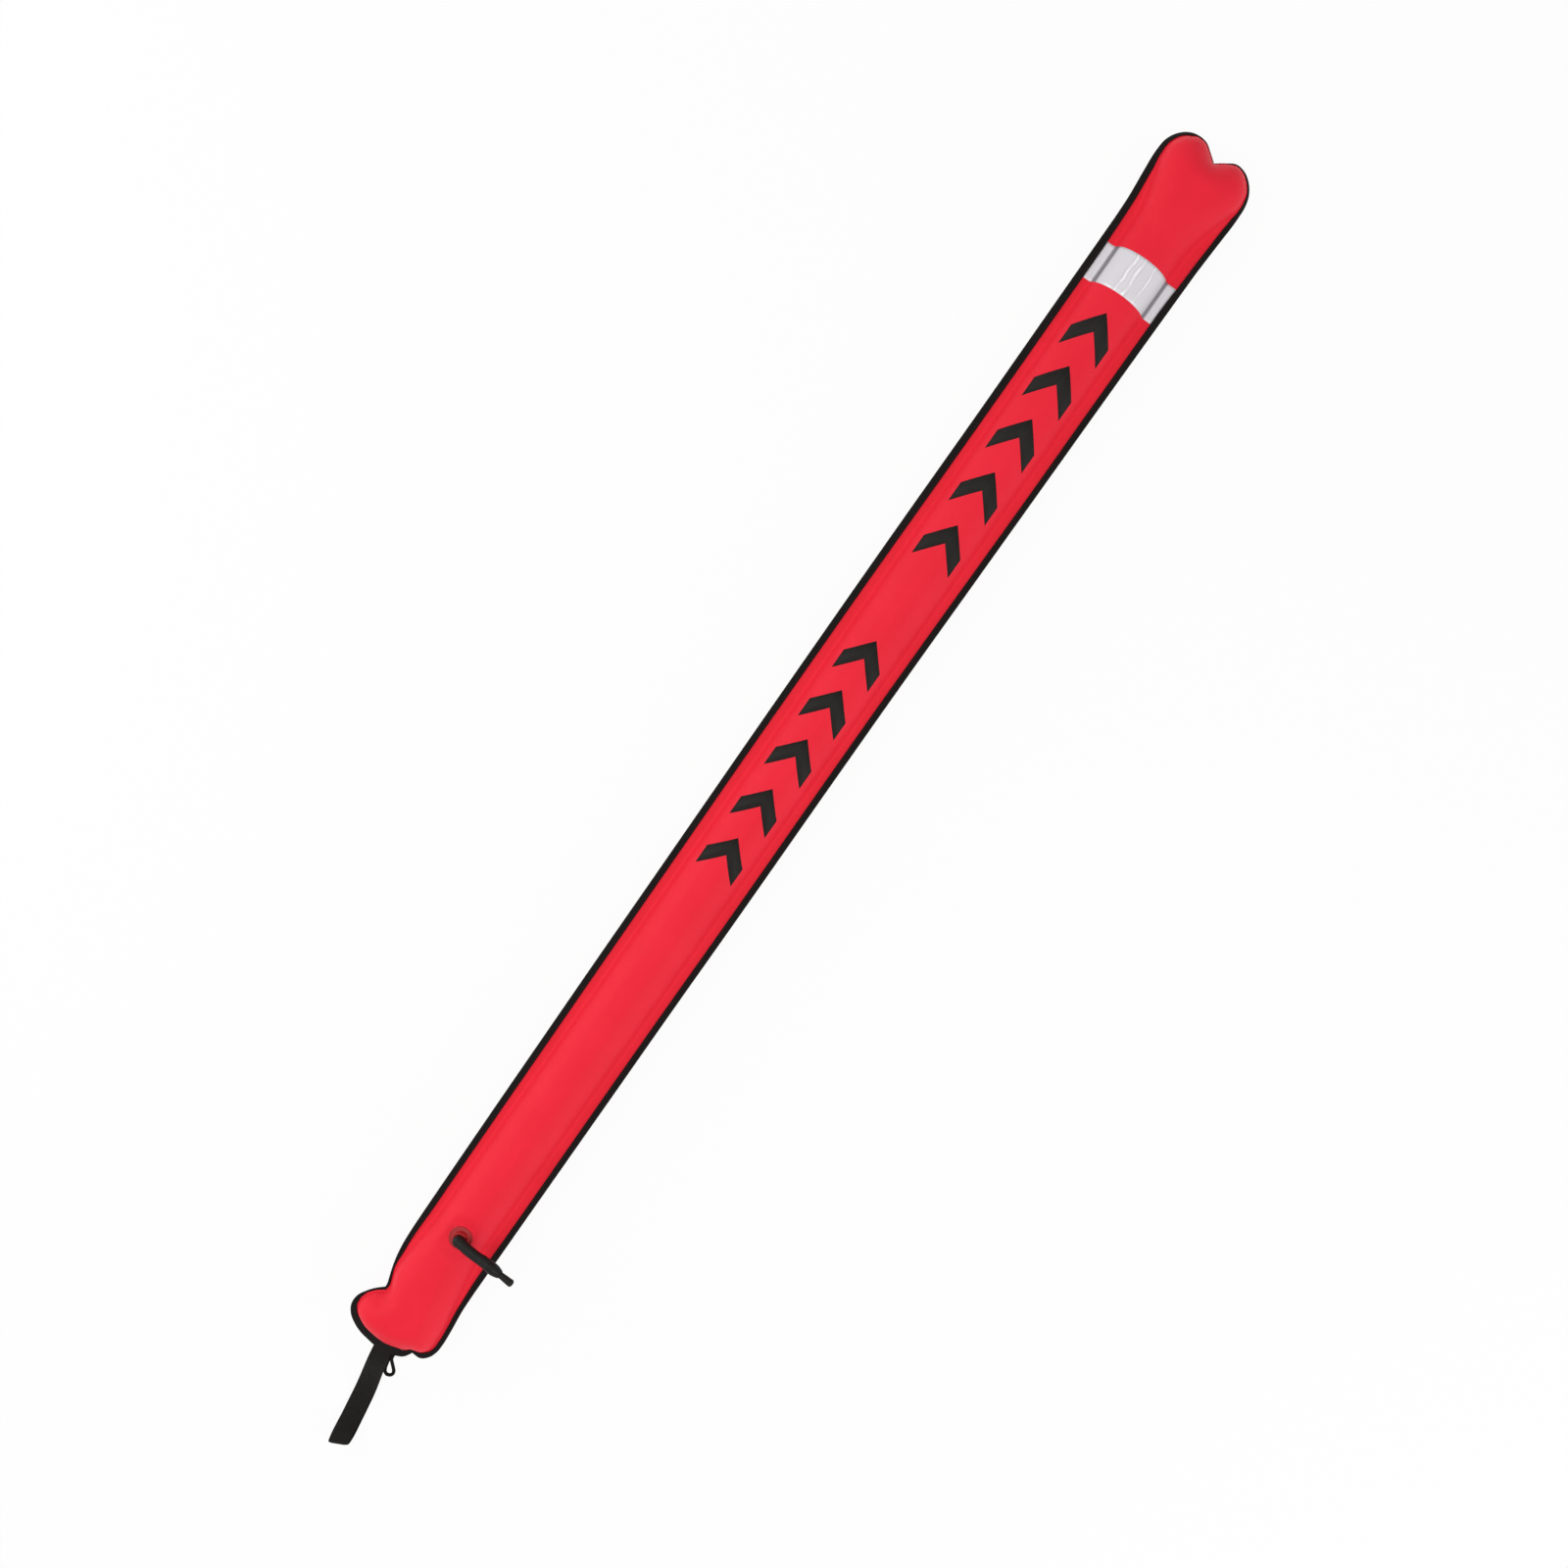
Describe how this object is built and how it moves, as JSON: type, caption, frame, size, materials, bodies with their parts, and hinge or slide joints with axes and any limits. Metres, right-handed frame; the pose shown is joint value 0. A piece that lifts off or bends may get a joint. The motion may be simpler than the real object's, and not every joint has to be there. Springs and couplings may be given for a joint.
{
  "type": "surface marker buoy",
  "caption": "Slim inflatable marker tube of red coated nylon with bound edges, reflective bands, an oral inflator hose on its front, a relief valve behind and a webbing loop at its foot.",
  "frame": {"origin": "middle of the buoy's footprint, on the plane that the inflated tube lies on", "axes": "+X along the tube to its top end, +Z out of the front panel that carries the oral inflator, +Y to the left of the tube seen from the front with the top end up"},
  "size_m": [1.53, 0.1192, 0.0793],
  "materials": {
    "coated_nylon": "woven red nylon with a satin polyurethane coating",
    "binding_tape": "black woven binding tape, matt",
    "reflective_tape": "silver glass-bead reflective tape, satin",
    "weld_plastic": "dark red moulded weld flange",
    "hose_rubber": "black moulded rubber, satin",
    "valve_plastic": "black moulded acetal",
    "seal_rubber": "black silicone",
    "spring_steel": "stainless spring wire",
    "webbing": "black polypropylene webbing",
    "cord": "black braided cord"
  },
  "bodies": {
    "tube": {"front_panel": "coated_nylon", "back_panel": "coated_nylon", "edge_binding": "binding_tape", "reflective_band_front": "reflective_tape", "reflective_band_back": "reflective_tape", "inflator_flange": "weld_plastic", "relief_flange": "weld_plastic", "relief_body": "valve_plastic", "relief_cap": "valve_plastic", "relief_spring": "spring_steel", "keeper_loop": "cord"},
    "hose": {"inflator_hose": "hose_rubber", "valve_body": "valve_plastic", "valve_spring": "spring_steel"},
    "mouth_valve": {"mouthpiece": "valve_plastic", "valve_stem": "valve_plastic", "valve_seal": "seal_rubber"},
    "relief_valve": {"relief_poppet": "valve_plastic", "relief_seal": "seal_rubber"},
    "strap": {"webbing_strap": "webbing"}
  },
  "joints": [
    {"name": "hose_bend", "type": "hinge", "parent": "tube", "child": "hose", "pos_m": [-0.48151, 0.00772, 0.06133], "axis": [-0.9991, -0.0419, 0], "range_deg": [-15, 70], "stiffness_Nm_per_rad": 0.5},
    {"name": "mouthpiece_push", "type": "slide", "parent": "hose", "child": "mouth_valve", "axis": [-0.041, 0.9773, -0.2079], "range_m": [0, 0.003], "stiffness_N_per_m": 400, "springref_m": -0.002, "deforming": ["valve_spring"]},
    {"name": "relief_open", "type": "slide", "parent": "tube", "child": "relief_valve", "axis": [0, 0, -1], "range_m": [0, 0.0016], "stiffness_N_per_m": 300, "springref_m": -0.003, "deforming": ["relief_spring"]},
    {"name": "strap_lift", "type": "hinge", "parent": "tube", "child": "strap", "pos_m": [-0.63971, 0.00742, 0.02789], "axis": [-0.1461, 0.9893, 0], "range_deg": [0, 95]}
  ]
}
